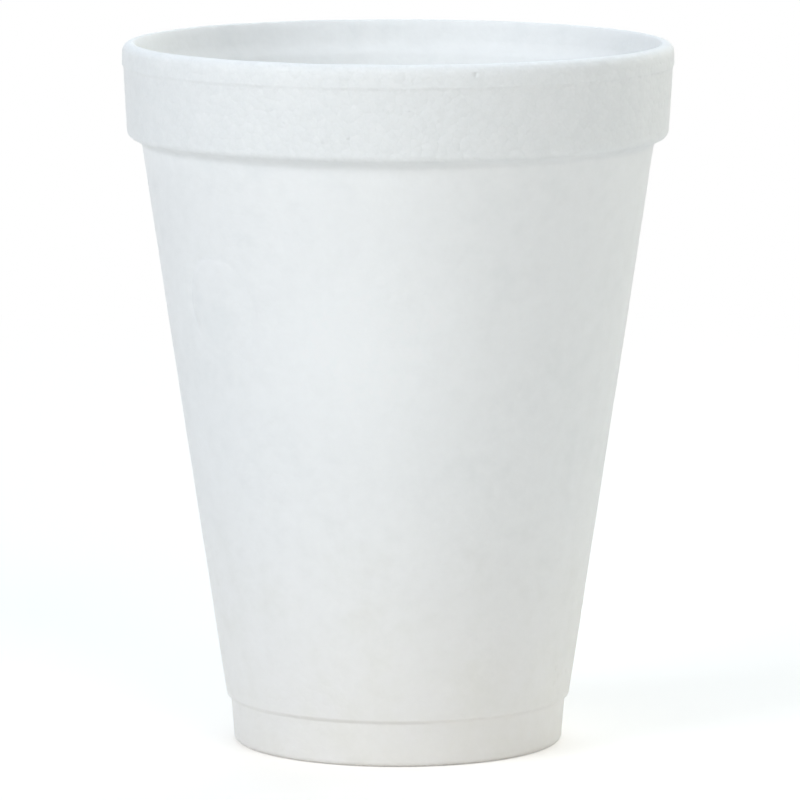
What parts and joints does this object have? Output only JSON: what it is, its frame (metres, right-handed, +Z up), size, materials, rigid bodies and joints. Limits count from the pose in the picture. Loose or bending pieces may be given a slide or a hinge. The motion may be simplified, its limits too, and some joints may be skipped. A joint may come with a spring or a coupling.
{
  "type": "foam cup",
  "caption": "Tapered white foam drinking cup with a thick band round its mouth, a small step above the foot and a recessed base.",
  "frame": {"origin": "centre of the ring that the cup stands on, on its axis and in the standing plane", "axes": "+Z up along the axis of the cup; the cup is round, so +X and +Y are any two level directions"},
  "size_m": [0.0888, 0.0888, 0.1136],
  "materials": {
    "foam": "matte white expanded polystyrene with a fine grain of fused beads"
  },
  "bodies": {
    "root": {"cup": "foam"}
  },
  "joints": []
}
